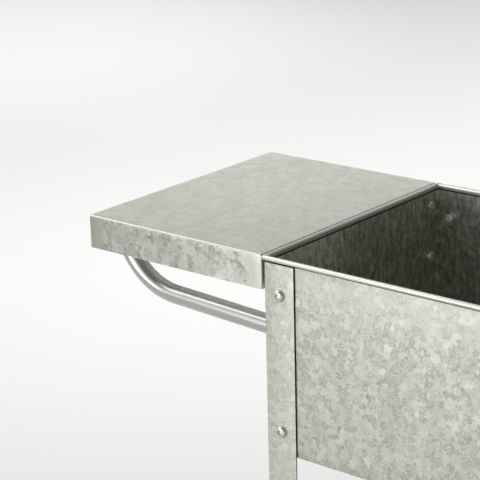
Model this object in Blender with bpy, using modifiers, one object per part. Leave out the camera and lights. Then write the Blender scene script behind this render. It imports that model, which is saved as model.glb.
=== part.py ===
"""Galvanised potting bench: a wired-edge sheet tub on four angle legs, with a side shelf on two
bent-tube brackets and a lower shelf. Metres, +Z up, origin on the floor under the middle.
The side shelf is at the -X end and the front faces -Y."""
import math

import bmesh
import bpy
from mathutils import Matrix, Vector

# ---------------------------------------------------------------- driving dimensions
RIM_HEIGHT = 0.810            # top of the rim and of the side shelf above the floor
LEG_SPAN_X = 0.655            # outside to outside of the legs, along the bench
LEG_SPAN_Y = 0.342            # outside to outside of the legs, front to back

LEG_FLANGE = 0.040            # width of each flange of the angle
LEG_SHEET = 0.0015            # thickness of the angle
LEG_BEND = 0.001              # radius of the angle's heel
LEG_BELOW_RIM = 0.0077        # top of the leg below the rim

TUB_SHEET = 0.0008
TUB_DEPTH = 0.2311            # rim to underside
TUB_SEAT = 0.0005             # the wall stands this far off the leg's flange
TUB_CORNER = 0.001            # corner radius of the wall
BEAD_DIAMETER = 0.0055        # rolled edge around the rim wire
BEAD_WRAP = 300.0             # degrees that the sheet curls round the wire
BEAD_CORNER = 0.002           # outer radius of the bead's corners, which are nearly mitred
WIRE_DIAMETER = 0.0032
FLOOR_LEDGE = 0.015           # width of the welded ledge that carries the floor sheet
FLOOR_SHEET = 0.001
FLOOR_CLEAR = 0.0009          # floor sheet's edge to the wall's inner face
FLOOR_CORNER = 0.002
DRAIN_HOLE = 0.010
DRAIN_COLUMNS = (-0.210, -0.070, 0.070, 0.210)
DRAIN_ROWS = (-0.090, 0.090)

SHELF_LENGTH = 0.2594         # along the bench
SHELF_WIDTH = 0.344
SHELF_SKIRT = 0.0402
SHELF_SHEET = 0.001
SHELF_BEND = 0.0018
SHELF_TO_LEG = 0.0031         # the bead keeps the shelf this far from the legs

TUBE_DIAMETER = 0.0222
TUBE_WALL = 0.0015
TUBE_BELOW_RIM = 0.0889       # axis at the leg
TUBE_RISE = math.radians(2.66)
TUBE_STRAIGHT = 0.148
TUBE_BEND = 0.084             # radius of the axis
TUBE_SPARE = 0.006            # stock beyond the leg end, trimmed square to the leg
TUBE_PLUG = 0.014             # threaded plug welded into the leg end
PLUG_HOLE = 0.036             # drilled through the plug and into the bore
PLATE_SIZE = (0.052, 0.024, 0.003)
PLATE_CORNER = 0.004
PLATE_WELD = 0.0012           # the tube's end reaches this far into the plate
BORE_SHORT = 0.0015           # the bore stops this far before the tube's end
STUD_SPACING = 0.038
STUD_LENGTH = 0.0125
STUD_WELD = 0.0005            # studs reach this far into the shelf's sheet

LOWER_HEIGHT = 0.200          # top of the lower shelf

CAP_WALL = 0.002
CAP_FLOOR = 0.003
CAP_HEIGHT = 0.028
GAP = 0.0003                  # between touching pieces

BOLT_DROPS = (0.0430, 0.2036)  # tub bolts below the rim
BOLT_INSET = 0.0203            # from the leg's outer edge
SHELF_BOLT_DROP = 0.024
# d: thread; head, height: button head; socket, deep: its hexagon; af, nut: nut's flats and height
M8 = {"d": 0.008, "head": 0.014, "height": 0.0044, "socket": 0.005, "deep": 0.0026,
      "af": 0.013, "nut": 0.0065}
M6 = {"d": 0.006, "head": 0.0105, "height": 0.0033, "socket": 0.004, "deep": 0.0021,
      "af": 0.010, "nut": 0.005}
TUB_BOLT = 0.012              # lengths under the head
BRACKET_BOLT = 0.014
SHELF_BOLT = 0.016
HEAD_EDGE = 0.2               # straight edge of a button head, as a share of its height
HEAD_CROWN = 0.62             # flat on top of a button head, radius over the socket's flats
HOLE_CLEARANCE = 0.0003       # on the radius
DRILL_LENGTH = 0.024

ROUND = 16                    # sides of a tube and of a bolt head
HOLE_SIDES = 12
CORNER_STEPS = 2
FOLD_STEPS = 3                # in a shelf's bends
LEG_BEND_STEPS = 2
BEAD_STEPS = 15
TUBE_BEND_STEPS = 14

# ---------------------------------------------------------------- derived places
CAP_PROUD = CAP_WALL + GAP                       # cap's outer face beyond the leg's
HEAD_PROUD = M8["height"] + GAP
OVERALL_X = SHELF_LENGTH + SHELF_TO_LEG + LEG_SPAN_X + HEAD_PROUD
SHELF_X0 = -OVERALL_X / 2
SHELF_X1 = SHELF_X0 + SHELF_LENGTH
LEG_X0 = SHELF_X1 + SHELF_TO_LEG
LEG_X1 = LEG_X0 + LEG_SPAN_X
LEG_Y1 = LEG_SPAN_Y / 2
MID_X = (LEG_X0 + LEG_X1) / 2
WALL_OFFSET = LEG_SHEET + TUB_SEAT               # leg's outer face to the wall's outer face
TUB_HALF_X = LEG_SPAN_X / 2 - WALL_OFFSET
TUB_HALF_Y = LEG_SPAN_Y / 2 - WALL_OFFSET
TUB_BOTTOM = RIM_HEIGHT - TUB_DEPTH
LEG_TOP = RIM_HEIGHT - LEG_BELOW_RIM
LEG_BOTTOM = CAP_FLOOR + GAP
TUBE_Y = LEG_Y1 - LEG_FLANGE / 2
LOWER_INSET = LEG_SHEET + GAP
PLATE_TOP = RIM_HEIGHT - SHELF_SHEET - GAP
PLATE_BOTTOM = PLATE_TOP - PLATE_SIZE[2]

X, Y, Z = Vector((1, 0, 0)), Vector((0, 1, 0)), Vector((0, 0, 1))

# ---------------------------------------------------------------- scene set-up
for old in list(bpy.data.objects):
    bpy.data.objects.remove(old)

PARTS = bpy.data.collections.new("potting_bench")
CUTTERS = bpy.data.collections.new("cutters")
for group in (PARTS, CUTTERS):
    bpy.context.scene.collection.children.link(group)


def material(name, colour, roughness, metallic):
    made = bpy.data.materials.new(name)
    made.use_nodes = True
    shader = made.node_tree.nodes["Principled BSDF"]
    shader.inputs["Base Color"].default_value = (*colour, 1.0)
    shader.inputs["Roughness"].default_value = roughness
    shader.inputs["Metallic"].default_value = metallic
    return made


GALVANISED = material("galvanised_sheet", (0.60, 0.60, 0.55), 0.42, 0.85)
LEG_ZINC = material("galvanised_angle", (0.58, 0.58, 0.54), 0.42, 0.85)
SATIN_TUBE = material("satin_tube", (0.64, 0.64, 0.61), 0.28, 0.95)
ZINC_BOLT = material("zinc_plated_fastener", (0.66, 0.66, 0.64), 0.25, 0.95)
CAP_PLASTIC = material("foot_plastic", (0.09, 0.09, 0.09), 0.6, 0.0)


# ---------------------------------------------------------------- modelling helpers
def add(name, data, finish=None, group=PARTS):
    """Put mesh or curve data in the scene as a named object."""
    made = bpy.data.objects.new(name, data)
    group.objects.link(made)
    if finish:
        data.materials.clear()
        data.materials.append(finish)
    return made


def mesh_from(bm, name):
    bmesh.ops.recalc_face_normals(bm, faces=bm.faces)
    data = bpy.data.meshes.new(name)
    bm.to_mesh(data)
    bm.free()
    return data


def smooth(data, angle=35.0):
    data.shade_smooth()
    data.set_sharp_from_angle(angle=math.radians(angle))


def block(low, high, name="block"):
    """A box between two corners, as mesh data."""
    bm = bmesh.new()
    bmesh.ops.create_cube(bm, size=1.0)
    size = Vector(high) - Vector(low)
    middle = (Vector(high) + Vector(low)) / 2
    stretch = Matrix.Diagonal((*size, 1.0))
    bmesh.ops.transform(bm, verts=bm.verts, matrix=Matrix.Translation(middle) @ stretch)
    return mesh_from(bm, name)


def rod_along(bm, centre, axis, radius, length, sides=HOLE_SIDES):
    """Add a solid cylinder centred on a point to a bmesh."""
    turn = Z.rotation_difference(axis).to_matrix().to_4x4()
    bmesh.ops.create_cone(bm, cap_ends=True, segments=sides, radius1=radius, radius2=radius,
                          depth=length, matrix=Matrix.Translation(centre) @ turn)


def cutter(name, data):
    made = add(name, data, group=CUTTERS)
    made.hide_render = True
    made.display_type = "WIRE"
    return made


def boolean(target, tool, operation):
    step = target.modifiers.new(operation.lower(), "BOOLEAN")
    step.operation = operation
    step.solver = "EXACT"
    step.object = tool


def drill(target, holes):
    """Cut round holes. Each hole is (point in the wall, axis, radius, length)."""
    bm = bmesh.new()
    for centre, axis, radius, length in holes:
        rod_along(bm, centre, axis, radius, length)
    boolean(target, cutter(target.name + "_holes", mesh_from(bm, "holes")), "DIFFERENCE")


def outline_prism(name, outlines, low_z, high_z):
    """Extrude flat outlines from low_z to high_z; the first is the edge, any others are holes."""
    curve = bpy.data.curves.new(name, "CURVE")
    curve.dimensions = "2D"
    curve.fill_mode = "BOTH"
    curve.extrude = (high_z - low_z) / 2
    for outline in outlines:
        spline = curve.splines.new("POLY")
        spline.points.add(len(outline) - 1)
        spline.use_cyclic_u = True
        for point, (px, py) in zip(spline.points, outline):
            point.co = (px, py, 0.0, 1.0)
    return curve_to_mesh(curve, Matrix.Translation((0, 0, (low_z + high_z) / 2)))


def curve_to_mesh(curve, place):
    """Evaluate a curve, weld its loose caps and give back mesh data placed by a matrix."""
    holder = bpy.data.objects.new(curve.name, curve)
    bpy.context.scene.collection.objects.link(holder)
    holder.matrix_world = place
    bpy.context.view_layer.update()
    evaluated = holder.evaluated_get(bpy.context.evaluated_depsgraph_get())
    raw = bpy.data.meshes.new_from_object(evaluated)
    bm = bmesh.new()
    bm.from_mesh(raw)
    bmesh.ops.remove_doubles(bm, verts=bm.verts, dist=1e-6)
    bmesh.ops.transform(bm, verts=bm.verts, matrix=holder.matrix_world)
    bpy.data.objects.remove(holder)
    return mesh_from(bm, curve.name)


def circle(centre_x, centre_y, radius, sides=HOLE_SIDES):
    turns = [2 * math.pi * step / sides for step in range(sides)]
    return [(centre_x + radius * math.cos(turn), centre_y + radius * math.sin(turn)) for turn in turns]


def arc(centre_x, centre_y, radius, start, end, steps):
    """Points of an arc; angles in degrees."""
    turns = [math.radians(start + (end - start) * step / steps) for step in range(steps + 1)]
    return [(centre_x + radius * math.cos(turn), centre_y + radius * math.sin(turn)) for turn in turns]


def rounded_rectangle(half_x, half_y, radius, steps=CORNER_STEPS):
    """Corner points of a rounded rectangle about the origin, anticlockwise."""
    points = []
    for sign_x, sign_y, start in ((1, 1, 0), (-1, 1, 90), (-1, -1, 180), (1, -1, 270)):
        centre_x, centre_y = sign_x * (half_x - radius), sign_y * (half_y - radius)
        points += arc(centre_x, centre_y, radius, start, start + 90, steps)
    return points


def evaluated_mesh(made, name):
    """Apply an object's modifiers and remove it; gives back its mesh data."""
    bpy.context.view_layer.update()
    data = bpy.data.meshes.new_from_object(made.evaluated_get(bpy.context.evaluated_depsgraph_get()))
    data.name = name
    bpy.data.objects.remove(made)
    return data


# ---------------------------------------------------------------- fasteners
def turned(name, profile, steps, group=PARTS):
    """Turn a profile of (radius, height) about Z; it runs down its outer side, top to bottom."""
    bm = bmesh.new()
    verts = [bm.verts.new((radius, 0.0, height)) for radius, height in profile]
    for first, second in zip(verts, verts[1:]):
        bm.edges.new((first, second))
    data = bpy.data.meshes.new(name)
    bm.to_mesh(data)
    bm.free()
    made = add(name, data, group=group)
    screw = made.modifiers.new("turn", "SCREW")
    screw.axis = "Z"
    screw.steps = steps
    screw.render_steps = steps
    screw.use_merge_vertices = True
    screw.merge_threshold = 0.00001
    return made


def bolt_mesh(size, length):
    """Button-head bolt with a hexagon socket; the head sits on z = 0 and the shank points down -Z."""
    head, height, shank = size["head"] / 2, size["height"], size["d"] / 2
    crown = size["socket"] * HEAD_CROWN
    profile = [(0, height), (crown, height)]
    for share in (0.35, 0.7):
        lift = HEAD_EDGE + (1 - HEAD_EDGE) * math.cos(share * math.pi / 2)
        profile.append((crown + (head - crown) * math.sin(share * math.pi / 2), height * lift))
    profile += [(head, height * HEAD_EDGE), (head, 0.0), (shank, 0.0), (shank, -length), (0, -length)]
    blank = turned("bolt_blank", profile, ROUND)
    bm = bmesh.new()
    rod_along(bm, Vector((0, 0, height)), Z, size["socket"] / math.sqrt(3), size["deep"] * 2, 6)
    socket = cutter("socket", mesh_from(bm, "socket"))
    boolean(blank, socket, "DIFFERENCE")
    data = evaluated_mesh(blank, "bolt")
    bpy.data.objects.remove(socket)
    smooth(data)
    return data


def nut_mesh(size):
    """Hexagon nut on z = 0 .. height, with a clear bore."""
    corners = circle(0, 0, size["af"] / math.sqrt(3), 6)
    bore = circle(0, 0, size["d"] / 2 + HOLE_CLEARANCE)
    return outline_prism("nut", [corners, bore], 0.0, size["nut"])


def washer_mesh(size, thickness):
    """Flat washer, twice as wide as its bolt."""
    edge = circle(0, 0, size["d"], ROUND)
    bore = circle(0, 0, size["d"] / 2 + HOLE_CLEARANCE)
    return outline_prism("washer", [edge, bore], 0.0, thickness)


def place(name, data, seat, outward, finish=ZINC_BOLT):
    """Put a fastener on a seat point with its own +Z along outward."""
    made = add(name, data)
    if not data.materials:
        data.materials.append(finish)
    made.location = seat
    made.rotation_mode = "QUATERNION"
    made.rotation_quaternion = Z.rotation_difference(outward)
    return made


# ---------------------------------------------------------------- frame pieces
def angle_outline(flange, sheet, bend, grow=0.0):
    """L section with its outer corner at the origin and its flanges along +X and +Y, grown all round."""
    low, far, inner = -grow, flange + grow, sheet + grow
    outer = arc(low + bend + grow, low + bend + grow, bend + grow, 270, 180, LEG_BEND_STEPS)
    return [(far, low), (far, inner), (inner, inner), (inner, far), (low, far)] + outer[::-1]


def mirrored(outline, sign_x, sign_y, corner_x, corner_y):
    return [(corner_x + sign_x * px, corner_y + sign_y * py) for px, py in outline]


CORNERS = {
    "front_left": (LEG_X0, -LEG_Y1, 1, 1),
    "front_right": (LEG_X1, -LEG_Y1, -1, 1),
    "rear_left": (LEG_X0, LEG_Y1, 1, -1),
    "rear_right": (LEG_X1, LEG_Y1, -1, -1),
}


def bolts_at(corner):
    """Every fastener through one leg: (kind, point on the flange's outer face, outward direction)."""
    corner_x, corner_y, sign_x, sign_y = CORNERS[corner]
    face_out, end_out = Y * -sign_y, X * -sign_x
    across_x, across_y = corner_x + sign_x * BOLT_INSET, corner_y + sign_y * LEG_FLANGE / 2
    fixings = [("tub", Vector((across_x, corner_y, RIM_HEIGHT - drop)), face_out) for drop in BOLT_DROPS]
    on_end = {"tub": BOLT_DROPS}
    if sign_x > 0:
        on_end = {"shelf": (SHELF_BOLT_DROP,), "bracket": (TUBE_BELOW_RIM,), "tub": BOLT_DROPS[1:]}
    for kind, drops in on_end.items():
        fixings += [(kind, Vector((corner_x, across_y, RIM_HEIGHT - drop)), end_out) for drop in drops]
    return fixings


def hole_for(kind, point, outward):
    size = M6 if kind == "shelf" else M8
    return (point, outward, size["d"] / 2 + HOLE_CLEARANCE, DRILL_LENGTH)


def make_legs():
    for corner, (corner_x, corner_y, sign_x, sign_y) in CORNERS.items():
        section = angle_outline(LEG_FLANGE, LEG_SHEET, LEG_BEND)
        outline = mirrored(section, sign_x, sign_y, corner_x, corner_y)
        data = outline_prism("leg", [outline], LEG_BOTTOM, LEG_TOP)
        smooth(data)
        leg = add("leg_" + corner, data, LEG_ZINC)
        drill(leg, [hole_for(*fixing) for fixing in bolts_at(corner)])


def make_foot_caps():
    for corner, (corner_x, corner_y, sign_x, sign_y) in CORNERS.items():
        shell = mirrored(angle_outline(LEG_FLANGE, LEG_SHEET, LEG_BEND, CAP_PROUD), sign_x, sign_y,
                         corner_x, corner_y)
        pocket = mirrored(angle_outline(LEG_FLANGE, LEG_SHEET, LEG_BEND, GAP), sign_x, sign_y,
                          corner_x, corner_y)
        cap = add("foot_cap_" + corner, outline_prism("cap", [shell], 0.0, CAP_HEIGHT), CAP_PLASTIC)
        tool = cutter("pocket_" + corner, outline_prism("pocket", [pocket], CAP_FLOOR, CAP_HEIGHT * 2))
        boolean(cap, tool, "DIFFERENCE")


# ---------------------------------------------------------------- tub
def bead_centre():
    """Axis of the rolled edge: distance outside the wall's outer face, and height."""
    return BEAD_DIAMETER / 2 - TUB_SHEET, RIM_HEIGHT - BEAD_DIAMETER / 2


def tub_section():
    """Middle line of the sheet as (distance outside the wall's outer face, height), lip to foot."""
    middle = TUB_SHEET / 2
    bead_out, bead_z = bead_centre()
    curl = arc(bead_out, bead_z, BEAD_DIAMETER / 2 - middle, 180 - BEAD_WRAP, 180, BEAD_STEPS)
    return curl + [(-middle, TUB_BOTTOM)]


def make_tub_walls():
    """Rings of the section, offset outwards or inwards from the wall, joined into one open sheet."""
    bm = bmesh.new()
    rings = []
    for outward, height in tub_section():
        radius = min(max(TUB_CORNER + outward, GAP), BEAD_CORNER)
        ring = rounded_rectangle(TUB_HALF_X + outward, TUB_HALF_Y + outward, radius)
        rings.append([bm.verts.new((MID_X + px, py, height)) for px, py in ring])
    for upper, lower in zip(rings, rings[1:]):
        count = len(upper)
        for index in range(count):
            after = (index + 1) % count
            bm.faces.new((upper[index], upper[after], lower[after], lower[index]))
    data = mesh_from(bm, "tub_walls")
    smooth(data)
    walls = add("tub_walls", data, GALVANISED)
    sheet = walls.modifiers.new("sheet", "SOLIDIFY")
    sheet.thickness = TUB_SHEET
    sheet.offset = 0.0
    sheet.use_even_offset = True
    drill(walls, [hole_for(*fixing) for corner in CORNERS for fixing in bolts_at(corner)])


def make_rim_wire():
    bead_out, bead_z = bead_centre()
    curve = bpy.data.curves.new("rim_wire", "CURVE")
    curve.dimensions = "3D"
    curve.bevel_depth = WIRE_DIAMETER / 2
    curve.bevel_resolution = 2
    spline = curve.splines.new("POLY")
    route = rounded_rectangle(TUB_HALF_X + bead_out, TUB_HALF_Y + bead_out, BEAD_CORNER)
    spline.points.add(len(route) - 1)
    spline.use_cyclic_u = True
    for point, (px, py) in zip(spline.points, route):
        point.co = (MID_X + px, py, bead_z, 1.0)
    add("rim_wire", curve, LEG_ZINC)


def make_floor_ledge():
    """Flat strip all round the foot of the walls."""
    inset = TUB_SHEET + GAP
    edge = rounded_rectangle(TUB_HALF_X - inset, TUB_HALF_Y - inset, GAP)
    reach = inset + FLOOR_LEDGE
    inner = rounded_rectangle(TUB_HALF_X - reach, TUB_HALF_Y - reach, FLOOR_CORNER)
    data = outline_prism("floor_ledge", [edge, inner], TUB_BOTTOM, TUB_BOTTOM + TUB_SHEET)
    data.transform(Matrix.Translation((MID_X, 0, 0)))
    add("floor_ledge", data, GALVANISED)


def make_tub_floor():
    inset = TUB_SHEET + FLOOR_CLEAR
    edge = rounded_rectangle(TUB_HALF_X - inset, TUB_HALF_Y - inset, FLOOR_CORNER)
    holes = [circle(column, row, DRAIN_HOLE / 2) for column in DRAIN_COLUMNS for row in DRAIN_ROWS]
    low = TUB_BOTTOM + TUB_SHEET + GAP
    data = outline_prism("tub_floor", [edge] + holes, low, low + FLOOR_SHEET)
    data.transform(Matrix.Translation((MID_X, 0, 0)))
    add("tub_floor", data, GALVANISED)


# ---------------------------------------------------------------- shelves
def folded_tray(name, low_x, high_x, half_y, top):
    """Sheet folded down on four sides with welded corners: an open box, bevelled, then thickened."""
    bm = bmesh.new()
    bm.from_mesh(block((low_x, -half_y, top - SHELF_SKIRT), (high_x, half_y, top)))
    under = [face for face in bm.faces if face.normal.z < -0.9]
    bmesh.ops.delete(bm, geom=under, context="FACES_ONLY")
    data = mesh_from(bm, name)
    tray = add(name, data, GALVANISED)
    bend = tray.modifiers.new("bends", "BEVEL")
    bend.width = SHELF_BEND
    bend.segments = FOLD_STEPS
    bend.limit_method = "ANGLE"
    sheet = tray.modifiers.new("sheet", "SOLIDIFY")
    sheet.thickness = SHELF_SHEET
    sheet.offset = -1.0
    sheet.use_even_offset = True
    return tray


def weld_on(target, name, data):
    """Join a welded piece to a sheet part; it overlaps the sheet by part of its thickness."""
    boolean(target, cutter(name, data), "UNION")


def make_side_shelf():
    tray = folded_tray("side_shelf", SHELF_X0, SHELF_X1, SHELF_WIDTH / 2, RIM_HEIGHT)
    drill(tray, [hole_for(*fixing) for corner in ("front_left", "rear_left") for fixing in bolts_at(corner)
                 if fixing[0] == "shelf"])
    bm = bmesh.new()
    middle_z = RIM_HEIGHT - SHELF_SHEET + STUD_WELD - STUD_LENGTH / 2
    for stud_x, stud_y in stud_places():
        rod_along(bm, Vector((stud_x, stud_y, middle_z)), Z, M6["d"] / 2, STUD_LENGTH)
    weld_on(tray, "shelf_studs", mesh_from(bm, "studs"))


def make_lower_shelf():
    """Plain tray between the legs, spot-welded to their inner faces."""
    half_y = LEG_Y1 - LOWER_INSET
    folded_tray("lower_shelf", LEG_X0 + LOWER_INSET, LEG_X1 - LOWER_INSET, half_y, LOWER_HEIGHT)


# ---------------------------------------------------------------- side shelf brackets
def tube_route(y):
    """Axis of the bent tube from the leg outwards and up to the shelf."""
    start = Vector((LEG_X0 - GAP, y, RIM_HEIGHT - TUBE_BELOW_RIM))
    along = Vector((-math.cos(TUBE_RISE), 0, math.sin(TUBE_RISE)))
    above = Vector((math.sin(TUBE_RISE), 0, math.cos(TUBE_RISE)))
    bend_start = start + along * TUBE_STRAIGHT
    centre = bend_start + above * TUBE_BEND
    end_height = PLATE_BOTTOM + PLATE_WELD
    sweep = math.pi / 2 - TUBE_RISE - math.asin((centre.z - end_height) / TUBE_BEND)
    bend = []
    for step in range(1, TUBE_BEND_STEPS + 1):
        turn = sweep * step / TUBE_BEND_STEPS
        bend.append(centre + along * TUBE_BEND * math.sin(turn) - above * TUBE_BEND * math.cos(turn))
    return [start - along * TUBE_SPARE, bend_start] + bend


def plate_x():
    return tube_route(0)[-1].x


def stud_places():
    """Each weld stud's (x, y): front pair, then rear pair."""
    return [(plate_x() + sign_x * STUD_SPACING / 2, sign_y * TUBE_Y)
            for sign_y in (-1, 1) for sign_x in (-1, 1)]


def tube_mesh(name, route, radius):
    """Solid round bar along a route, as mesh data."""
    curve = bpy.data.curves.new(name, "CURVE")
    curve.dimensions = "3D"
    curve.bevel_depth = radius
    curve.bevel_resolution = ROUND // 4 - 1
    curve.use_fill_caps = True
    spline = curve.splines.new("POLY")
    spline.points.add(len(route) - 1)
    for point, place_at in zip(spline.points, route):
        point.co = (*place_at, 1.0)
    return curve_to_mesh(curve, Matrix.Identity(4))


def make_brackets():
    """Bent tube with a threaded plug at the leg and a plate welded on top, square to the shelf."""
    for side, sign_y in (("front", -1), ("rear", 1)):
        y = sign_y * TUBE_Y
        route = tube_route(y)
        data = tube_mesh("tube", route, TUBE_DIAMETER / 2)
        smooth(data)
        bracket = add("shelf_bracket_" + side, data, SATIN_TUBE)
        along = (route[1] - route[0]).normalized()
        bore_route = [route[0] + along * (TUBE_SPARE + TUBE_PLUG)] + route[1:]
        bore_route[-1] = bore_route[-1] - Z * BORE_SHORT
        bore = tube_mesh("bore", bore_route, TUBE_DIAMETER / 2 - TUBE_WALL)
        boolean(bracket, cutter("bore_" + side, bore), "DIFFERENCE")
        half_x, half_y = PLATE_SIZE[0] / 2, PLATE_SIZE[1] / 2
        outline = [(plate_x() + px, y + py)
                   for px, py in rounded_rectangle(half_x, half_y, PLATE_CORNER)]
        holes = [circle(stud_x, stud_y, M6["d"] / 2 + HOLE_CLEARANCE)
                 for stud_x, stud_y in stud_places() if stud_y * sign_y > 0]
        plate = outline_prism("plate", [outline] + holes, PLATE_BOTTOM, PLATE_TOP)
        weld_on(bracket, "plate_" + side, plate)
        face = Vector((LEG_X0 - GAP, y, RIM_HEIGHT - TUBE_BELOW_RIM))
        spare = block(face - (Y + Z) * TUBE_DIAMETER, face + (X + Y + Z) * TUBE_DIAMETER)
        boolean(bracket, cutter("end_trim_" + side, spare), "DIFFERENCE")
        drill(bracket, [(face, X, M8["d"] / 2 + HOLE_CLEARANCE, PLUG_HOLE)])


# ---------------------------------------------------------------- fasteners in place
def make_fasteners():
    tub_bolt = bolt_mesh(M8, TUB_BOLT)
    bracket_bolt = bolt_mesh(M8, BRACKET_BOLT)
    shelf_bolt = bolt_mesh(M6, SHELF_BOLT)
    nut_m8, nut_m6 = nut_mesh(M8), nut_mesh(M6)
    spacer = washer_mesh(M6, SHELF_TO_LEG - 2 * GAP)
    inside_wall = WALL_OFFSET + TUB_SHEET + GAP
    for corner in CORNERS:
        count = 0
        for kind, point, outward in bolts_at(corner):
            inside = point - outward * inside_wall
            if kind == "tub":
                count += 1
                place(f"tub_bolt_{corner}_{count}", tub_bolt, point + outward * GAP, outward)
                place(f"tub_nut_{corner}_{count}", nut_m8, inside, -outward)
            elif kind == "bracket":
                place("bracket_bolt_" + corner.split("_")[0], bracket_bolt, inside, -outward)
            else:
                side = corner.split("_")[0]
                place("shelf_bolt_" + side, shelf_bolt, inside, -outward)
                place("shelf_spacer_" + side, spacer, point + outward * GAP, outward)
                nut_seat = point + outward * (SHELF_TO_LEG + SHELF_SHEET + GAP)
                place("shelf_nut_" + side, nut_m6, nut_seat, outward)
    names = ("front_1", "front_2", "rear_1", "rear_2")
    for name, (stud_x, stud_y) in zip(names, stud_places()):
        place("bracket_nut_" + name, nut_m6, Vector((stud_x, stud_y, PLATE_BOTTOM - GAP)), -Z)


make_legs()
make_foot_caps()
make_tub_walls()
make_rim_wire()
make_floor_ledge()
make_tub_floor()
make_side_shelf()
make_lower_shelf()
make_brackets()
make_fasteners()
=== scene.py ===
"""Looks of the galvanised potting bench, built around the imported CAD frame. Metres, +Z up."""
import math

import bmesh
import bpy
from mathutils import Matrix, Vector, noise


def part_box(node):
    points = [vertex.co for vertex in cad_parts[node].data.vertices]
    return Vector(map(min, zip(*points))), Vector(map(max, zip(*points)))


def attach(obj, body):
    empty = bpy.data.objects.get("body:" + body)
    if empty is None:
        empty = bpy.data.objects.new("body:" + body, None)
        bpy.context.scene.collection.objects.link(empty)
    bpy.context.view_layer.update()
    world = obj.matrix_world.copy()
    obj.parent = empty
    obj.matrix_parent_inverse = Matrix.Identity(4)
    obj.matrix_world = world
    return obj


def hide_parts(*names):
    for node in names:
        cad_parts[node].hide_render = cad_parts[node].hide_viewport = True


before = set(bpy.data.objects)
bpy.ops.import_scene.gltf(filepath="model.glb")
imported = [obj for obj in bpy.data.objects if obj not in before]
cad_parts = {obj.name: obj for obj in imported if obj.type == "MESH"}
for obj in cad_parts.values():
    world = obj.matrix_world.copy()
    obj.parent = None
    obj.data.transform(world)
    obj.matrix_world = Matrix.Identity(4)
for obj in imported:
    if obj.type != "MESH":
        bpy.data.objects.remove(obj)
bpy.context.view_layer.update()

MM = 0.001
GAP = 0.3 * MM
X, Y, Z = Vector((1, 0, 0)), Vector((0, 1, 0)), Vector((0, 0, 1))
CORNERS = {"front_left": (1, 1), "front_right": (-1, 1), "rear_left": (1, -1), "rear_right": (-1, -1)}


# ---------------------------------------------------------------- node helpers
class Graph:
    """Makes nodes in one material's or world's tree; an input may be a value or another node's output."""

    def __init__(self, tree):
        self.tree = tree

    def make(self, kind, inputs=(), **settings):
        made = self.tree.nodes.new("ShaderNode" + kind)
        for name, value in settings.items():
            setattr(made, name, value)
        for key, value in dict(inputs).items():
            socket = made.inputs[key]
            if isinstance(value, bpy.types.NodeSocket):
                self.tree.links.new(value, socket)
            else:
                socket.default_value = value
        return made

    def math(self, operation, first, second=0.0, clamp=False):
        return self.make("Math", {0: first, 1: second}, operation=operation, use_clamp=clamp).outputs[0]

    def span(self, value, low, high, to_low=0.0, to_high=1.0):
        """Map a value smoothly from one range to another, held at both ends."""
        found = {"Value": value, "From Min": low, "From Max": high, "To Min": to_low, "To Max": to_high}
        return self.make("MapRange", found, interpolation_type="SMOOTHSTEP").outputs[0]

    def blend(self, share, none, full):
        """From one value to another as the share goes from 0 to 1."""
        return self.make("MapRange", {"Value": share, "To Min": none, "To Max": full}).outputs[0]

    def product(self, first, *others):
        for other in others:
            first = self.math("MULTIPLY", first, other)
        return first

    def either(self, first, *others):
        """The largest of some shares."""
        for other in others:
            first = self.math("MAXIMUM", first, other)
        return first

    def about(self, value, middle, amount):
        """How far a value is over or under its middle, times an amount."""
        return self.product(self.math("SUBTRACT", value, middle), amount)

    def vector(self, operation, first, second=(0, 0, 0)):
        return self.make("VectorMath", {0: first, 1: second}, operation=operation).outputs[0]

    def scaled(self, value, factor):
        return self.make("VectorMath", {0: value, "Scale": factor}, operation="SCALE").outputs[0]

    def noise(self, place, size, detail=2.0, rough=0.5, out="Fac"):
        """Noise whose features are about size metres wide."""
        found = {"Vector": place, "Scale": 1 / size, "Detail": detail, "Roughness": rough}
        return self.make("TexNoise", found).outputs[out]

    def cells(self, place, size):
        """One random colour for each angular cell of about size metres."""
        found = {"Vector": place, "Scale": 1 / size}
        return self.make("TexVoronoi", found, distance="MANHATTAN").outputs["Color"]

    def split(self, value):
        return self.make("SeparateXYZ", {0: value}).outputs

    def colour(self, tone):
        return self.make("CombineXYZ", {0: tone[0], 1: tone[1], 2: tone[2]}).outputs[0]

    def surface(self, shader, colour, roughness, height, strength, distance, **more):
        """Link a colour, a roughness and a bump to a shader."""
        bump = self.make("Bump", {"Height": height, "Strength": strength, "Distance": distance, **more})
        self.tree.links.new(colour, shader.inputs["Base Color"])
        self.tree.links.new(roughness, shader.inputs["Roughness"])
        self.tree.links.new(bump.outputs[0], shader.inputs["Normal"])


def new_material(name):
    made = bpy.data.materials.new(name)
    made.use_nodes = True
    made.node_tree.nodes.clear()
    graph = Graph(made.node_tree)
    shader = graph.make("BsdfPrincipled")
    graph.make("OutputMaterial", {"Surface": shader.outputs[0]})
    return made, graph, shader


FINE_FLAKE = 0.22           # of a large flake's width
MOTTLE = 40 * MM            # width of the cloudy patches in the zinc
STREAK = 2.4 * MM           # width of the drawn streaks, which run up and down
HALF = (0.5, 0.5, 0.5)


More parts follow.
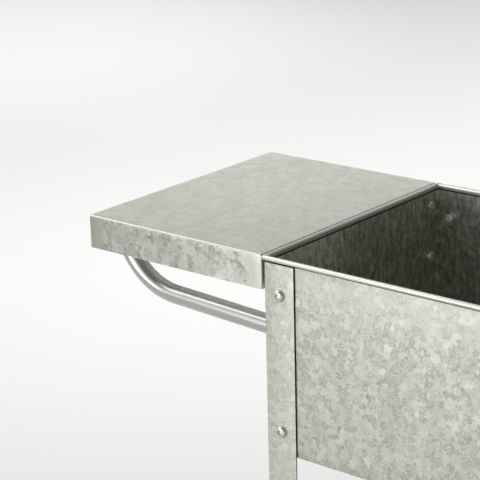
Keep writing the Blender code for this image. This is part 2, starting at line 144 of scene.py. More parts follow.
def galvanised(name, tone, flake, contrast, rough, tilt, speck=1.0, smooth_tone=0.95, smooth_rough=0.1,
               mask=None, seed=0.0):
    """Hot-dip zinc: smooth grey flakes between crinkled olive ones, each with its own slope and gloss.
    A speck power over 1 scatters bright specks on a dark ground, and under 1 dark ones on a bright ground.
    The mask gives where the spangle is gone, as on a sprayed weld or a tight bend, and a factor of painted
    light and shade that scales the colour."""
    made, g, shader = new_material(name)
    here = g.make("TexCoord").outputs["Object"]
    place = g.vector("ADD", here, (seed, seed * 0.7, seed * 0.3))
    warp = g.vector("SUBTRACT", g.noise(place, flake * 0.7, 3, 0.6, "Color"), HALF)
    large_cell = g.cells(g.vector("ADD", place, g.scaled(warp, flake * 1.1)), flake)
    fine_cell = g.cells(g.vector("ADD", place, g.scaled(warp, flake * 0.7)), flake * FINE_FLAKE)
    large, fine = g.split(large_cell), g.split(fine_cell)
    mottle = g.noise(place, MOTTLE, 3, 0.55)
    streak = g.noise(g.vector("MULTIPLY", place, (1.0, 1.0, 0.35)), STREAK, 2, 0.6)
    crinkled = g.span(large[1], 0.30, 0.50)

    specks = g.math("SUBTRACT", g.math("POWER", fine[0], speck), 1 / (1 + speck))
    change = g.product(specks, g.span(crinkled, 0.0, 1.0, contrast * 0.8, contrast * 2.2))
    for value, amount in ((large[0], contrast * 0.7), (mottle, contrast * 0.8), (streak, contrast * 1.6)):
        change = g.math("ADD", change, g.about(value, 0.5, amount))
    change = g.math("SUBTRACT", change, g.about(crinkled, 0.6, contrast * 1.1))
    bright = g.math("ADD", change, 1.0)
    lean = g.scaled(g.vector("SUBTRACT", large_cell, HALF), tilt)
    fine_lean = g.scaled(g.vector("SUBTRACT", fine_cell, HALF), g.product(crinkled, tilt * 1.1))
    lean = g.vector("ADD", lean, fine_lean)
    gloss = g.about(fine[2], 0.5, 0.10)
    painted_shading = 1.0
    if mask:
        smooth, painted_shading = mask(g, here)
        keep = g.math("SUBTRACT", 1.0, smooth)
        sprayed = g.math("ADD", g.product(streak, contrast * 0.6), smooth_tone - contrast * 0.3)
        bright = g.math("ADD", g.product(bright, keep), g.product(smooth, sprayed))
        lean = g.scaled(lean, keep)
        gloss = g.math("ADD", g.product(gloss, keep), g.product(smooth, smooth_rough))
    normal = g.make("NewGeometry").outputs["Normal"]
    normal = g.vector("NORMALIZE", g.vector("ADD", normal, lean))
    blue = g.span(bright, 0.85, 1.15, tone[2] * 0.95, tone[2] * 1.03)
    shade = g.colour((tone[0], tone[1] * 1.005, blue))
    # the colour is scaled by the mask's painted light and shade
    colour = g.scaled(g.scaled(shade, bright), painted_shading)
    g.surface(shader, colour, g.math("ADD", gloss, rough), streak, 0.15, 0.4 * MM, Normal=normal)
    shader.inputs["Metallic"].default_value = 0.9
    return made


def plated(name, tone, rough):
    """Bright zinc plate or satin drawn tube: fine scuffs and slight cloudiness."""
    made, g, shader = new_material(name)
    place = g.make("TexCoord").outputs["Object"]
    cloud = g.noise(place, 12 * MM, 3)
    grain = g.noise(place, 0.9 * MM, 2)
    colour = g.scaled(g.colour(tone), g.math("ADD", g.about(cloud, 0.5, 0.10), 1.0))
    roughness = g.math("ADD", g.about(grain, 0.5, 0.15), rough)
    g.surface(shader, colour, roughness, grain, 0.06, 0.2 * MM)
    shader.inputs["Metallic"].default_value = 0.95
    return made


def moulded(name, tone):
    """Matt moulded plastic with a fine grain and scuffed patches."""
    made, g, shader = new_material(name)
    place = g.make("TexCoord").outputs["Object"]
    grain = g.noise(place, 0.7 * MM, 3)
    scuff = g.span(g.noise(place, 10 * MM, 4), 0.5, 0.7)
    colour = g.scaled(g.colour(tone), g.math("ADD", g.product(scuff, 0.5), 1.0))
    g.surface(shader, colour, g.span(grain, 0.3, 0.7, 0.5, 0.7), grain, 0.25, 0.2 * MM)
    return made


# ---------------------------------------------------------------- mesh helpers
def finish_piece(name, bm, finish, nodes, sharp=40.0):
    """Turn a bmesh into a piece that rides on the bench and stands for some CAD nodes."""
    bmesh.ops.recalc_face_normals(bm, faces=bm.faces)
    data = bpy.data.meshes.new(name)
    bm.to_mesh(data)
    bm.free()
    data.shade_smooth()
    data.set_sharp_from_angle(angle=math.radians(sharp))
    data.materials.append(finish)
    piece = bpy.data.objects.new(name, data)
    bpy.context.scene.collection.objects.link(piece)
    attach(piece, "root")
    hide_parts(*nodes)
    return piece


def baked(holder):
    """The bmesh of an object's evaluated shape; the object goes."""
    bpy.context.scene.collection.objects.link(holder)
    bpy.context.view_layer.update()
    bm = bmesh.new()
    evaluated = holder.evaluated_get(bpy.context.evaluated_depsgraph_get())
    bm.from_mesh(bpy.data.meshes.new_from_object(evaluated))
    bpy.data.objects.remove(holder)
    return bm


def loft(bm, rings, cap_start=True, cap_end=True, closed=False):
    """Skin closed rings of points that all have the same count; closed joins the last ring to the first."""
    made = [[bm.verts.new(point) for point in ring] for ring in rings]
    count = len(made[0])
    for lower, upper in zip(made, made[1:] + made[:1] if closed else made[1:]):
        for index in range(count):
            after = (index + 1) % count
            bm.faces.new((lower[index], lower[after], upper[after], upper[index]))
    if cap_start:
        bm.faces.new(made[0][::-1])
    if cap_end:
        bm.faces.new(made[-1])


def arc(centre_x, centre_y, radius, start, end, steps):
    turns = [math.radians(start + (end - start) * step / steps) for step in range(steps + 1)]
    return [(centre_x + radius * math.cos(turn), centre_y + radius * math.sin(turn)) for turn in turns]


def frame_ring(half_x, half_y, radius, count_x, count_y, steps):
    """Rounded rectangle about the origin, anticlockwise, with its straight sides divided."""
    points = []
    for sign_x, sign_y, start in ((1, 1, 0), (-1, 1, 90), (-1, -1, 180), (1, -1, 270)):
        bend = arc(sign_x * (half_x - radius), sign_y * (half_y - radius), radius, start, start + 90, steps)
        points += bend
        count = count_x if sign_x == sign_y else count_y
        far_x = bend[-1][0] - (sign_x * 2 * (half_x - radius) if sign_x == sign_y else 0)
        far_y = bend[-1][1] - (0 if sign_x == sign_y else sign_y * 2 * (half_y - radius))
        near_x, near_y = bend[-1]
        for step in range(1, count):
            share = step / count
            points.append((near_x + (far_x - near_x) * share, near_y + (far_y - near_y) * share))
    return points


def filleted(points, radii, steps=4):
    """Round a polygon's corners. A radius of 0 leaves the corner sharp."""
    made = []
    count = len(points)
    for index, (point, radius) in enumerate(zip(points, radii)):
        here = Vector(point)
        back = (Vector(points[index - 1]) - here).normalized()
        ahead = (Vector(points[(index + 1) % count]) - here).normalized()
        if radius <= 0:
            made.append(tuple(here))
            continue
        half = back.angle(ahead) / 2
        centre = here + (back + ahead).normalized() * radius / math.sin(half)
        first = here + back * radius / math.tan(half) - centre
        swing = first.angle_signed(here + ahead * radius / math.tan(half) - centre)
        for step in range(steps + 1):
            spoke = first.copy()
            spoke.rotate(Matrix.Rotation(-swing * step / steps, 2))
            made.append(tuple(centre + spoke))
    return made


def angle_ring(flange, sheet, bend, grow):
    """L section with its outer corner at the origin, grown all round, with rounded edges."""
    low, far, inner = -grow, flange + grow, sheet + grow
    corners = [(low, low), (far, low), (far, inner), (inner, inner), (inner, far), (low, far)]
    edge, root = 0.4 * MM, 1.2 * MM
    return filleted(corners, [bend + grow, edge, edge, root, edge, edge], 5)


def spin(profile, sides=48):
    """Rings of (radius, height); either may be a function of the angle, for hexagons."""
    rings = []
    for radius, height in profile:
        ring = []
        for index in range(sides):
            turn = 2 * math.pi * index / sides
            reach = radius(turn) if callable(radius) else radius
            level = height(turn) if callable(height) else height
            ring.append(Vector((reach * math.cos(turn), reach * math.sin(turn), level)))
        rings.append(ring)
    return rings


def hexagon(flats):
    """Radius of a hexagon at an angle."""
    return lambda turn: flats / 2 / math.cos((turn + math.pi / 6) % (math.pi / 3) - math.pi / 6)


def thread(radius, pitch, start, end):
    """Profile of a grooved shank with a chamfered tip, from start down to end."""
    profile = []
    count = int(round((start - end) / pitch * 2))
    for step in range(count + 1):
        height = start + (end - start) * step / count
        profile.append((radius - (0.4 * pitch if step % 2 else 0.0), height))
    profile.append((radius - 0.7 * pitch, end - 0.35 * pitch))
    return profile


# ---------------------------------------------------------------- fasteners
M8 = {"d": 8 * MM, "head": 14 * MM, "height": 4.4 * MM, "socket": 5 * MM, "deep": 2.6 * MM,
      "af": 13 * MM, "nut": 6.5 * MM, "pitch": 1.25 * MM}
M6 = {"d": 6 * MM, "head": 10.5 * MM, "height": 3.3 * MM, "socket": 4 * MM, "deep": 2.1 * MM,
      "af": 10 * MM, "nut": 5 * MM, "pitch": 1.0 * MM}


def bolt(size, length):
    """Button-head bolt with a chamfered hexagon socket; it sits on z = 0 and points down."""
    bm = bmesh.new()
    head, height = size["head"] / 2, size["height"]
    socket = hexagon(size["socket"])
    crown = size["socket"] * 0.66
    drill = height - size["deep"]
    profile = [(0.2 * MM, drill - 0.5 * MM), (lambda turn: socket(turn) * 0.97, drill),
               (socket, height - 0.5 * MM), (lambda turn: socket(turn) * 1.10, height - 0.05 * MM),
               (crown, height)]
    dome_steps = 8
    for step in range(1, dome_steps + 1):
        turn = step / dome_steps * math.pi / 2
        profile.append((crown + (head - crown) * math.sin(turn), height * (0.2 + 0.8 * math.cos(turn))))
    profile += [(head - 0.05 * MM, height * 0.08), (head - 0.35 * MM, 0.0), (size["d"] / 2 + 0.3 * MM, 0.0)]
    profile += thread(size["d"] / 2, size["pitch"], -0.2 * MM, -length)
    loft(bm, spin(profile))
    return bm


def nut(size):
    """Hexagon nut that stands on z = 0, with chamfered corners and a chamfered bore."""
    bm = bmesh.new()
    high, outer = size["nut"], hexagon(size["af"])
    bore, chamfer = size["d"] / 2 + 0.15 * MM, 0.6 * MM
    tip = size["af"] / 2 * 0.94

    def slope(turn):
        return (outer(turn) - tip) * 0.5

    profile = [(bore, chamfer), (bore + chamfer, 0.0), (tip, 0.0), (outer, slope),
               (outer, lambda turn: high - slope(turn)), (tip, high),
               (bore + chamfer, high), (bore, high - chamfer)]
    loft(bm, spin(profile), False, False, True)
    return bm


def spacer(outer, bore, high):
    """Ring with softened edges that stands on z = 0."""
    bm = bmesh.new()
    edge = 0.2 * MM
    profile = [(bore, edge), (bore + edge, 0.0), (outer - edge, 0.0), (outer, edge), (outer, high - edge),
               (outer - edge, high), (bore + edge, high), (bore, high - edge)]
    loft(bm, spin(profile), False, False, True)
    return bm


def set_fastener(bm, node, outward, thick, finish, turn=0.0):
    """Seat a fastener: its box's outer end, less its own height, is where its underside sits."""
    low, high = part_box(node)
    reach = (high - low).dot(Vector([abs(value) for value in outward])) / 2
    seat = (low + high) / 2 + outward * (reach - thick)
    spun = Z.rotation_difference(outward).to_matrix().to_4x4() @ Matrix.Rotation(turn, 4, "Z")
    bmesh.ops.transform(bm, verts=bm.verts, matrix=Matrix.Translation(seat) @ spun)
    return finish_piece(node + "_made", bm, finish, [node], 28)


SMALL_FASTENERS = ("shelf_bolt", "shelf_nut", "shelf_spacer", "bracket_nut")
BIG_FASTENERS = ("tub_bolt", "tub_nut", "bracket_bolt")
FIXED_WAYS = {"shelf_nut": -X, "shelf_spacer": -X, "shelf_bolt": X, "bracket_bolt": X, "bracket_nut": -Z}
SPACER_BORE = 3.3 * MM


def make_fasteners(finish):
    """A bolt's head, and a nut's free face, point away from what they hold."""
    tub_low, tub_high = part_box("tub_walls")
    middle = (tub_low + tub_high) / 2
    for order, node in enumerate(sorted(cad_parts)):
        kind = "_".join(node.split("_")[:2])
        if kind not in SMALL_FASTENERS + BIG_FASTENERS:
            continue
        low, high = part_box(node)
        spans, centre = list(high - low), (low + high) / 2
        is_bolt = kind.endswith("bolt")
        axis = spans.index(max(spans) if is_bolt else min(spans))
        outward = FIXED_WAYS.get(kind)
        if outward is None:
            outward = Vector((0, 0, 0))
            side = 1.0 if centre[axis] > middle[axis] else -1.0
            outward[axis] = side if is_bolt else -side
        size = M6 if kind in SMALL_FASTENERS else M8
        if is_bolt:
            shank = spans[axis] - size["height"]
            turn = math.radians(order * 37 % 60)
            set_fastener(bolt(size, shank), node, outward, size["height"], finish, turn)
        elif kind == "shelf_spacer":
            set_fastener(spacer(max(spans) / 2, SPACER_BORE, spans[axis]), node, outward, spans[axis], finish)
        else:
            set_fastener(nut(size), node, outward, size["nut"], finish)


# ---------------------------------------------------------------- legs and feet
LEG_SHEET = 1.5 * MM
LEG_BEND = 1 * MM
CAP_WALL = 2 * MM


def angle_loft(corner, levels):
    """Skin L sections at a leg's corner through (how far they are grown, height) levels."""
    sign_x, sign_y = CORNERS[corner]
    low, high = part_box("leg_" + corner)
    at = Vector((low.x if sign_x > 0 else high.x, low.y if sign_y > 0 else high.y, 0.0))
    rings = []
    for grow, level in levels:
        outline = angle_ring(high.x - low.x, LEG_SHEET, LEG_BEND, grow)
        rings.append([at + Vector((sign_x * px, sign_y * py, level)) for px, py in outline])
    bm = bmesh.new()
    loft(bm, rings)
    return bm


def make_legs(finish):
    soft, rows = 0.3 * MM, 24
    for corner in CORNERS:
        low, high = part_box("leg_" + corner)
        levels = [(-soft, low.z), (0.0, low.z + soft)]
        straight = high.z - low.z - 2 * soft
        levels += [(0.0, low.z + soft + straight * step / rows) for step in range(1, rows + 1)]
        levels += [(-soft, high.z)]
        bm = angle_loft(corner, levels)
        finish_piece("angle_leg_" + corner, bm, finish, ["leg_" + corner])


def make_foot_caps(finish):
    """Moulded caps with a rounded foot and a lip round the top."""
    for corner in CORNERS:
        outer, top = CAP_WALL + GAP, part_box("foot_cap_" + corner)[1].z
        floor_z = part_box("leg_" + corner)[0].z - GAP
        levels = [(outer - 1.2 * MM, 0.0), (outer - 0.4 * MM, 0.35 * MM), (outer, 1.2 * MM),
                  (outer, top - 3.2 * MM), (outer - 0.35 * MM, top - 2.9 * MM),
                  (outer - 0.35 * MM, top - 0.8 * MM), (outer - 0.7 * MM, top - 0.15 * MM),
                  (outer - 1.1 * MM, top), (GAP + 0.3 * MM, top), (GAP, top - 0.4 * MM), (GAP, floor_z)]
        bm = angle_loft(corner, levels)
        finish_piece("moulded_foot_" + corner, bm, finish, ["foot_cap_" + corner])


# ---------------------------------------------------------------- tub
TUB_SHEET = 0.8 * MM
BEAD = 5.5 * MM             # outside diameter of the rolled rim
BEAD_WRAP = 300.0           # degrees of the rim's roll
BEAD_CORNER = 2 * MM
LEDGE = 15 * MM
TUB_CORNER = 1 * MM
TUB_FOLD = 1.2 * MM
TUB_ROWS = 22
WAVE = 0.45 * MM            # most that the thin walls bow in or out
DRAIN_COLUMNS = (-210 * MM, -70 * MM, 70 * MM, 210 * MM)
DRAIN_ROWS = (-90 * MM, 90 * MM)
DRAIN_RADIUS = 5 * MM


def make_tub(finish):
    """Folded tub: rolled bead, slightly wavy walls, and a ledge folded in at the foot."""
    low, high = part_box("tub_walls")
    centre = (low + high) / 2
    outside = BEAD - TUB_SHEET
    half_x, half_y = (high.x - low.x) / 2 - outside, (high.y - low.y) / 2 - outside
    middle = TUB_SHEET / 2
    curl = arc(BEAD / 2 - TUB_SHEET, high.z - BEAD / 2, BEAD / 2 - middle, 180 - BEAD_WRAP, 180, 30)
    base = arc(-middle - TUB_FOLD, low.z + middle + TUB_FOLD, TUB_FOLD, 0, -90, 5)
    top_z, foot_z = curl[-1][1], base[0][1]
    wall = [(-middle, top_z + (foot_z - top_z) * step / TUB_ROWS) for step in range(1, TUB_ROWS)]
    section = curl + wall + base + [(-LEDGE, low.z + middle)]
    first_wall, last_wall = len(curl), len(curl) + len(wall)
    bm = bmesh.new()
    rings = []
    for row, (outward, height) in enumerate(section):
        radius = min(max(TUB_CORNER + outward, 0.35 * MM), BEAD_CORNER)
        ring = []
        on_wall = first_wall <= row < last_wall
        for px, py in frame_ring(half_x + outward, half_y + outward, radius, 64, 34, 6):
            push = Vector((0, 0))
            if on_wall:
                across_x, across_y = 1 - abs(px) / half_x, 1 - abs(py) / half_y
                up = (height - low.z) / (high.z - low.z)
                calm = min(1.0, up * 6) * min(1.0, (1 - up) * 8)
                along = min(1.0, max(across_x, across_y) * 12)
                wave = noise.noise(Vector((px * 7, py * 7, height * 8 + 3.1))) * WAVE * calm * along
                if across_y < across_x:
                    push = Vector((0, wave if py > 0 else -wave))
                else:
                    push = Vector((wave if px > 0 else -wave, 0))
            ring.append(Vector((centre.x + px + push.x, py + push.y, height)))
        rings.append(ring)
    loft(bm, rings, False, False)
    piece = finish_piece("tub_sheet", bm, finish, ["tub_walls", "floor_ledge"])
    sheet = piece.modifiers.new("sheet", "SOLIDIFY")
    sheet.thickness = TUB_SHEET
    sheet.offset = 0.0
    sheet.use_even_offset = True


def make_tub_floor(finish):
    """Floor sheet with eight punched drain holes."""
    low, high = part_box("tub_floor")
    centre = (low + high) / 2
    curve = bpy.data.curves.new("floor_sheet", "CURVE")
    curve.dimensions = "2D"
    curve.fill_mode = "BOTH"
    soft = 0.15 * MM
    curve.extrude = (high.z - low.z) / 2 - soft
    curve.bevel_depth = soft
    curve.bevel_resolution = 1
    outlines = [frame_ring((high.x - low.x) / 2 - soft, (high.y - low.y) / 2 - soft, 2 * MM, 1, 1, 6)]
    for column in DRAIN_COLUMNS:
        for row in DRAIN_ROWS:
            outlines.append(arc(column, row, DRAIN_RADIUS + soft, 0, 350, 35))
    for outline in outlines:
        spline = curve.splines.new("POLY")
        spline.points.add(len(outline) - 1)
        spline.use_cyclic_u = True
        for point, (px, py) in zip(spline.points, outline):
            point.co = (px, py, 0.0, 1.0)
    holder = bpy.data.objects.new("floor_sheet_curve", curve)
    bm = baked(holder)
    bmesh.ops.remove_doubles(bm, verts=bm.verts, dist=0.01 * MM)
    bmesh.ops.translate(bm, verts=bm.verts, vec=centre)
    finish_piece("floor_sheet", bm, finish, ["tub_floor"])


# ---------------------------------------------------------------- shelves
SHELF_SHEET = 1 * MM
SHELF_BEND = 1.8 * MM
SKIRT = 40.2 * MM


def tray(name, node, finish, extras=None):
    """Sheet folded down on four sides; extras adds what is welded to it."""
    low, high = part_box(node)
    centre = (low + high) / 2
    half_x, half_y = (high.x - low.x) / 2, (high.y - low.y) / 2
    foot = high.z - SKIRT
    rows, bend_steps = 5, 6
    levels = [(0.0, foot + (high.z - SHELF_BEND - foot) * step / rows) for step in range(rows + 1)]
    for step in range(1, bend_steps + 1):
        turn = step / bend_steps * math.pi / 2
        levels.append((SHELF_BEND * (1 - math.cos(turn)), high.z - SHELF_BEND * (1 - math.sin(turn))))
    bm = bmesh.new()
    rings = []
    for inset, height in levels:
        radius = max(SHELF_BEND - inset, 0.05 * MM)
        ring = frame_ring(half_x - inset, half_y - inset, radius, 24, 24, 6)
        rings.append([Vector((centre.x + px, py, height)) for px, py in ring])
    loft(bm, rings, False, True)
    bmesh.ops.recalc_face_normals(bm, faces=bm.faces)
    skin = bpy.data.meshes.new("tray")
    bm.to_mesh(skin)
    bm.free()
    holder = bpy.data.objects.new("tray", skin)
    sheet = holder.modifiers.new("sheet", "SOLIDIFY")
    sheet.thickness = SHELF_SHEET
    sheet.offset = -1.0
    sheet.use_even_offset = True
    shell = baked(holder)
    if extras:
        extras(shell)
    return finish_piece(name, shell, finish, [node])


def shelf_studs(bm):
    """Weld studs that stand in the bracket nuts."""
    for node in ("bracket_nut_front_1", "bracket_nut_front_2", "bracket_nut_rear_1", "bracket_nut_rear_2"):
        low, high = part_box(node)
        centre = (low + high) / 2
        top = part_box("side_shelf")[1].z - SHELF_SHEET + 0.2 * MM
        profile = [(4.2 * MM, top), (3.9 * MM, top - 0.6 * MM), (3.0 * MM, top - 1.0 * MM)]
        profile += thread(3 * MM, 1 * MM, top - 1.4 * MM, top - 12.3 * MM)
        across = Vector((centre.x, centre.y, 0))
        loft(bm, [[point + across for point in ring] for ring in spin(profile, 24)])


# ---------------------------------------------------------------- brackets
TUBE = 22.2 * MM
TUBE_DROP = 88.9 * MM       # from the rim's top to the tube's middle at the leg
TUBE_RISE = math.radians(2.66)
TUBE_STRAIGHT = 148 * MM
TUBE_BEND = 84 * MM
TUBE_SIDES = 48
PLATE_THICK = 3 * MM
PLATE_HALF_X = 26 * MM
PLATE_HALF_Y = 12 * MM
PLATE_CORNER = 4 * MM
WELD_RIPPLE = 0.25 * MM
WELD_STEPS = ((2.4, 0.0), (1.5, 0.5), (0.7, 1.3), (0.0, 2.1), (-0.8, 2.1))


def tube_ring(middle, up):
    """Ring of (outward way, point on the tube) round a station."""
    turns = [2 * math.pi * index / TUBE_SIDES for index in range(TUBE_SIDES)]
    ways = [Y * math.cos(turn) + up * math.sin(turn) for turn in turns]
    return [(way, middle + way * TUBE / 2) for way in ways]


def make_brackets(finish):
    """Bent tube cut square to the leg, with a plate welded on its top end."""
    for side in ("front", "rear"):
        low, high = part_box("shelf_bracket_" + side)
        y = (low.y + high.y) / 2
        start = Vector((high.x, y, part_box("tub_walls")[1].z - TUBE_DROP))
        along = Vector((-math.cos(TUBE_RISE), 0, math.sin(TUBE_RISE)))
        above = Vector((math.sin(TUBE_RISE), 0, math.cos(TUBE_RISE)))
        centre = start + along * TUBE_STRAIGHT + above * TUBE_BEND
        plate_low = high.z - PLATE_THICK
        sweep = math.pi / 2 - TUBE_RISE - math.asin((centre.z - plate_low - 1.2 * MM) / TUBE_BEND)
        straight_steps, bend_steps = 6, 40
        stations = [(start + along * TUBE_STRAIGHT * step / straight_steps, along, above)
                    for step in range(straight_steps + 1)]
        for step in range(1, bend_steps + 1):
            turn = sweep * step / bend_steps
            point = centre + along * TUBE_BEND * math.sin(turn) - above * TUBE_BEND * math.cos(turn)
            ahead = along * math.cos(turn) + above * math.sin(turn)
            stations.append((point, ahead, above * math.cos(turn) - along * math.sin(turn)))
        rings = [[edge for way, edge in tube_ring(point, up)] for point, ahead, up in stations]
        rings[0] = [point - along * ((point.x - high.x) / along.x) for point in rings[0]]
        limit = plate_low - WELD_STEPS[0][0] * MM
        rings = [ring for ring in rings if max(point.z for point in ring) < limit]
        point, ahead, up = stations[-1]
        for below, grow in WELD_STEPS:
            ring = []
            for index, (way, edge) in enumerate(tube_ring(point, up)):
                ripple = WELD_RIPPLE * math.sin(2 * math.pi * index / TUBE_SIDES * 11) if grow else 0.0
                edge = edge + ahead * ((plate_low - below * MM - edge.z) / ahead.z)
                flat = Vector((way.x, way.y, 0)).normalized()
                ring.append(edge + flat * (grow * MM + ripple))
            rings.append(ring)
        bm = bmesh.new()
        loft(bm, rings)
        soft = 0.4 * MM
        levels = ((soft, plate_low), (0.0, plate_low + soft), (0.0, high.z - soft), (soft, high.z))
        plate = []
        for inset, level in levels:
            outline = frame_ring(PLATE_HALF_X - inset, PLATE_HALF_Y - inset, PLATE_CORNER - inset, 1, 1, 6)
            plate.append([Vector((point.x + px, y + py, level)) for px, py in outline])
        loft(bm, plate)
        finish_piece("bent_bracket_" + side, bm, finish, ["shelf_bracket_" + side])


# ---------------------------------------------------------------- finishes and pieces
def distance_from(g, here, middle):
    """How far a point is from a middle, along X and along Y, and its height."""
    at = g.split(here)
    off_x = g.math("ABSOLUTE", g.math("SUBTRACT", at[0], middle.x))
    off_y = g.math("ABSOLUTE", g.math("SUBTRACT", at[1], middle.y))
    return off_x, off_y, at[2]


def tray_mask(node):
    """The smooth zones of a tray: the zinc-sprayed corner welds and the stretched outside of its bends; the
    flat top is rolled smoother.
    Painted light and shade: the skirt is painted darker than the top, and the skirt and its sprayed corners
    go from dark at the low-X end to light at the high-X end, standing in for light that falls off along the
    tray."""
    low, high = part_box(node)
    half, top = (high - low) / 2, high.z
    spray_from, spray_full = 28 * MM, 15 * MM

    def mask(g, here):
        off_x, off_y, height = distance_from(g, here, (low + high) / 2)
        near_x = g.span(off_x, half.x - spray_from, half.x - spray_full)
        near_y = g.span(off_y, half.y - spray_from, half.y - spray_full)
        below = g.span(height, top - 4 * MM, top - 1 * MM, 1.0, 0.0)
        corner = g.product(near_x, near_y, below)
        bend = g.product(g.span(height, top - 2.4 * MM, top - 1.6 * MM),
                         g.span(height, top - 0.25 * MM, top - 0.02 * MM, 1.0, 0.0))
        along = g.split(here)[0]
        # painted shade: the skirt darker than the top, darkest at the low-X end
        painted_shade = g.blend(below, 1.0, g.span(along, low.x, high.x, 0.76, 0.92))
        # painted light and shade: the sprayed corners dark at the low-X end, light at the high-X end
        painted_shading = g.blend(corner, painted_shade, g.span(along, low.x, high.x, 0.80, 1.08))
        rolled = g.span(height, top - 0.4 * MM, top - 0.1 * MM, 0.0, 0.35)
        return g.either(corner, bend, rolled), painted_shading
    return mask


def leg_reach():
    """How far the legs' flanges stop from the tub's middle, along X and along Y."""
    low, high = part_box("leg_front_left")
    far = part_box("leg_rear_right")[1]
    return (far.x - low.x) / 2 - (high.x - low.x), (far.y - low.y) / 2 - (high.y - low.y)


def tub_mask(g, here):
    """The rolled bead is smooth, and the wall fairly smooth beneath it. Painted shade: a dark line under the
    bead and beside the legs' flanges;
    the inside is stained and painted darker as shade, more so towards the back, and the walls are painted
    lighter towards the rim as light."""
    low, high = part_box("tub_walls")
    half, bead_foot = (high - low) / 2, high.z - BEAD
    to_wall = BEAD - TUB_SHEET / 2
    flange_x, flange_y = leg_reach()
    off_x, off_y, height = distance_from(g, here, (low + high) / 2)
    smooth = g.span(height, bead_foot - 0.4 * MM, bead_foot + 0.3 * MM)
    above = g.span(height, bead_foot - 2.6 * MM, bead_foot - 1.2 * MM)
    crease = g.product(above, g.math("SUBTRACT", 1.0, smooth))
    beyond_x = g.math("SUBTRACT", off_x, half.x - to_wall)
    beyond_y = g.math("SUBTRACT", off_y, half.y - to_wall)
    outside = g.span(g.either(beyond_x, beyond_y), -0.1 * MM, 0.1 * MM)
    by_leg = g.product(g.span(off_x, flange_x - 0.8 * MM, flange_x - 0.3 * MM),
                       g.span(off_y, flange_y - 0.8 * MM, flange_y - 0.3 * MM),
                       g.math("SUBTRACT", outside, smooth, clamp=True))
    # painted shade: nearly black in the crease under the bead and beside the legs' flanges
    painted_contact_shade = g.span(g.either(crease, by_leg), 0.0, 1.0, 1.0, 0.05)
    stain = g.noise(g.vector("MULTIPLY", here, (1.0, 1.0, 0.4)), 7 * MM, 3, 0.7)
    # painted shade inside the tub, darker towards the back, multiplied by the stain mottle
    painted_shade = g.product(g.span(stain, 0.30, 0.70, 0.50, 1.15),
                     g.span(g.split(here)[1], low.y + 40 * MM, low.y + 200 * MM, 1.75, 0.95))
    inside_painted_shade_and_stain = g.blend(g.either(outside, smooth), painted_shade, 1.0)
    # painted light: the tub lighter towards the rim
    painted_top_light = g.span(height, high.z - 90 * MM, high.z, 1.0, 1.12)
    by_rim = g.span(height, high.z - 60 * MM, high.z - 20 * MM, 0.0, 0.45)
    return g.either(smooth, g.product(by_rim, outside)), g.product(inside_painted_shade_and_stain, painted_contact_shade, painted_top_light)


def leg_painted_edge_shade(g, here):
    """Painted shade: the cut edges of the angle's flanges are made nearly black along their whole length,
    standing in for the contact shadow where they meet the tub wall.
    """
    low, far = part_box("leg_front_left")[0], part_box("leg_rear_right")[1]
    flange_x, flange_y = leg_reach()
    off_x, off_y, _ = distance_from(g, here, (low + far) / 2)
    edge = g.product(g.span(off_x, flange_x + 0.15 * MM, flange_x + 0.4 * MM),
                     g.span(off_y, flange_y + 0.15 * MM, flange_y + 0.4 * MM))
    return 0.0, g.span(edge, 0.0, 1.0, 0.07, 1.0)


ZINC = (0.70, 0.70, 0.63)
TUB_ZINC = (0.62, 0.62, 0.555)
TRAY_SPANGLE = {"tone": ZINC, "flake": 11 * MM, "contrast": 0.16, "rough": 0.40, "tilt": 0.08,
                "speck": 0.5, "smooth_tone": 0.98, "smooth_rough": -0.02}
TUB_SPANGLE = {"tone": TUB_ZINC, "flake": 6.5 * MM, "contrast": 0.16, "rough": 0.40, "tilt": 0.06,
               "speck": 2.0, "smooth_tone": 1.10, "smooth_rough": -0.10}
LEG_SPANGLE = {"tone": ZINC, "flake": 7 * MM, "contrast": 0.12, "rough": 0.40, "tilt": 0.045}

shelf_finish = galvanised("zinc_shelf", mask=tray_mask("side_shelf"), **TRAY_SPANGLE)
lower_finish = galvanised("zinc_lower_shelf", mask=tray_mask("lower_shelf"), seed=0.31, **TRAY_SPANGLE)
tub_finish = galvanised("zinc_tub", mask=tub_mask, seed=0.57, **TUB_SPANGLE)
leg_finish = galvanised("zinc_leg", mask=leg_painted_edge_shade, seed=0.83, **LEG_SPANGLE)
tube_finish = plated("satin_steel", (0.61, 0.61, 0.59), 0.26)
bolt_finish = plated("bright_zinc_plate", (0.76, 0.76, 0.73), 0.36)
foot_finish = moulded("foot_plastic_dark", (0.035, 0.035, 0.036))

make_tub(tub_finish)
make_tub_floor(tub_finish)
tray("side_shelf_sheet", "side_shelf", shelf_finish, shelf_studs)
tray("lower_shelf_sheet", "lower_shelf", lower_finish)
make_legs(leg_finish)
make_foot_caps(foot_finish)
make_brackets(tube_finish)
make_fasteners(bolt_finish)
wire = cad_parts["rim_wire"]
wire.data.materials.clear()
wire.data.materials.append(leg_finish)


# ---------------------------------------------------------------- floor, light and camera
FLOOR_TONE = (0.86, 0.86, 0.85)
LOW_WALLS = (((-0.64, 0.77, 0), 0.1, 0.8, 0.85),        # behind on the left
             ((-0.25, -0.97, 0), 0.45, 1.0, 0.95))      # in front
SURROUND = 0.14
LENS = 127.55
CAMERA_RIGHT = Vector((0.77253215, 0.63448393, -0.02498419))
CAMERA_UP = Vector((-0.17722576, 0.25323474, 0.9510327))
CAMERA_FROM_CORNER = Vector((1.10032, -1.35754, 0.58363))


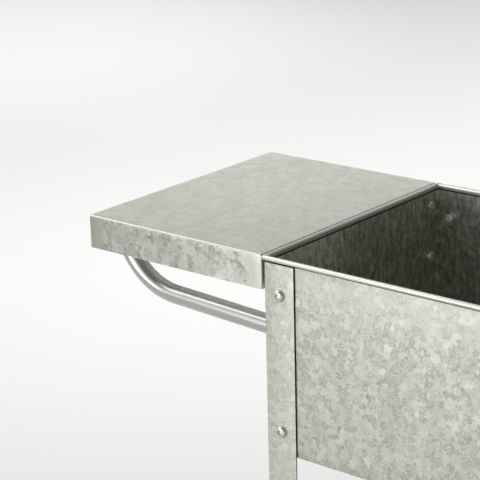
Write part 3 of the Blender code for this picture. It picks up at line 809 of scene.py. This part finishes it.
def make_floor():
    bm = bmesh.new()
    bmesh.ops.create_grid(bm, x_segments=12, y_segments=12, size=30.0)
    data = bpy.data.meshes.new("floor")
    bm.to_mesh(data)
    bm.free()
    floor = bpy.data.objects.new("floor", data)
    bpy.context.scene.collection.objects.link(floor)
    made, g, shader = new_material("pale_floor")
    place = g.make("TexCoord").outputs["Object"]
    tint = g.span(g.noise(place, 1.5, 2), 0.3, 0.7, 0.985, 1.0)
    g.tree.links.new(g.scaled(g.colour(FLOOR_TONE), tint), shader.inputs["Base Color"])
    shader.inputs["Roughness"].default_value = 0.9
    shader.inputs["Specular IOR Level"].default_value = 0.1
    data.materials.append(made)


def make_world():
    """Studio surround: pale walls low down behind on the left and in front, and dim everywhere else."""
    world = bpy.data.worlds.new("studio")
    bpy.context.scene.world = world
    world.use_nodes = True
    world.node_tree.nodes.clear()
    g = Graph(world.node_tree)
    way = g.make("TexCoord").outputs["Generated"]
    up = g.split(way)[2]
    walls = 0.0
    for facing, start, full, strength in LOW_WALLS:
        side = g.make("VectorMath", {0: way, 1: facing}, operation="DOT_PRODUCT").outputs["Value"]
        wall = g.product(g.span(side, start, full), g.span(up, 0.35, 0.75, 1.0, 0.0))
        walls = g.math("ADD", g.product(wall, strength), walls)
    back = g.make("Background", {"Color": (1, 1, 1, 1), "Strength": g.math("ADD", walls, SURROUND)})
    g.make("OutputWorld", {"Surface": back.outputs[0]})


def lamp(kind, name, at, toward, power, **settings):
    data = bpy.data.lights.new(name, kind)
    data.energy = power
    for key, value in settings.items():
        setattr(data, key, value)
    made = bpy.data.objects.new(name, data)
    bpy.context.scene.collection.objects.link(made)
    made.location = at
    made.rotation_mode = "QUATERNION"
    made.rotation_quaternion = (Vector(toward) - Vector(at)).to_track_quat("-Z", "Y")
    made.visible_camera = False


def softbox(name, at, toward, power, width, height):
    lamp("AREA", name, at, toward, power, shape="RECTANGLE", size=width, size_y=height)


def wash(name, at, toward, power, cone, blend):
    lamp("SPOT", name, at, toward, power, spot_size=math.radians(cone), spot_blend=blend,
         shadow_soft_size=0.3)


def make_lights():
    """Softboxes high on the left and low in front on both sides, and washes over the floor behind."""
    softbox("high_left", (-1.90, -0.65, 2.6), (-0.2, -0.1, 0.8), 25, 1.8, 2.1)
    softbox("low_front", (-1.0, -3.0, 0.75), (-0.1, -0.1, 0.7), 21, 1.4, 1.2)
    softbox("low_right", (1.9, -2.5, 0.45), (-0.1, -0.1, 0.5), 7, 1.4, 0.8)
    wash("back_wash", (-0.6, 2.2, 6.5), (-3.08, 4.33, 0.0), 1370, 96, 0.8)
    wash("far_wash", (-5.8, 3.6, 5.0), (-4.8, 3.4, 0.0), 310, 46, 1.0)


def make_camera():
    data = bpy.data.cameras.new("camera")
    data.sensor_width = 36.0
    data.lens = LENS
    data.clip_end = 100
    camera = bpy.data.objects.new("camera", data)
    bpy.context.scene.collection.objects.link(camera)
    back = CAMERA_RIGHT.cross(CAMERA_UP).normalized()
    turn = Matrix((CAMERA_RIGHT, CAMERA_UP, back)).transposed().to_4x4()
    leg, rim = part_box("leg_front_left")[0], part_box("tub_walls")[1]
    at = Vector((leg.x, leg.y, rim.z)) + CAMERA_FROM_CORNER
    camera.matrix_world = Matrix.Translation(at) @ turn
    bpy.context.scene.camera = camera


make_floor()
make_world()
make_lights()
make_camera()
bpy.context.scene.view_settings.view_transform = "Standard"
bpy.context.scene.view_settings.look = "None"
